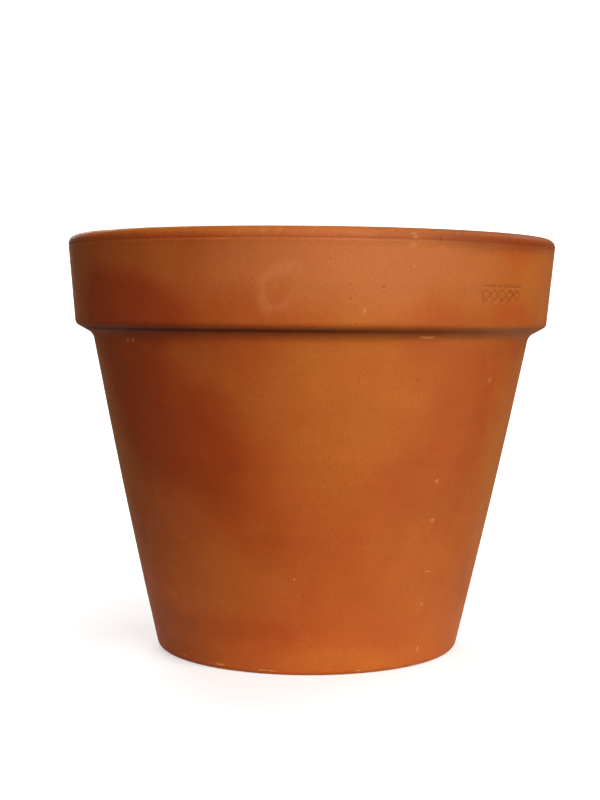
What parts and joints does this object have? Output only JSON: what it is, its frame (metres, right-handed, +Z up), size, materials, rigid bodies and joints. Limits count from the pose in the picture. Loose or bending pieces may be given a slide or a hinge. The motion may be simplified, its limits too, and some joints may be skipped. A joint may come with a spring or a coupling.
{
  "type": "clay flower pot",
  "caption": "Tapered round terracotta flower pot with a thick rim band, rounded lip and a drain hole in its flat floor.",
  "frame": {"origin": "centre of the foot ring, on the plane the pot stands on", "axes": "+Z up along the pot's axis, from the foot to the mouth; -Y is the side seen from the front; the solid is round, so X and Y are otherwise free"},
  "size_m": [0.2099, 0.21, 0.1775],
  "materials": {
    "terracotta": "matte unglazed"
  },
  "bodies": {
    "root": {"pot": "terracotta"}
  },
  "joints": []
}
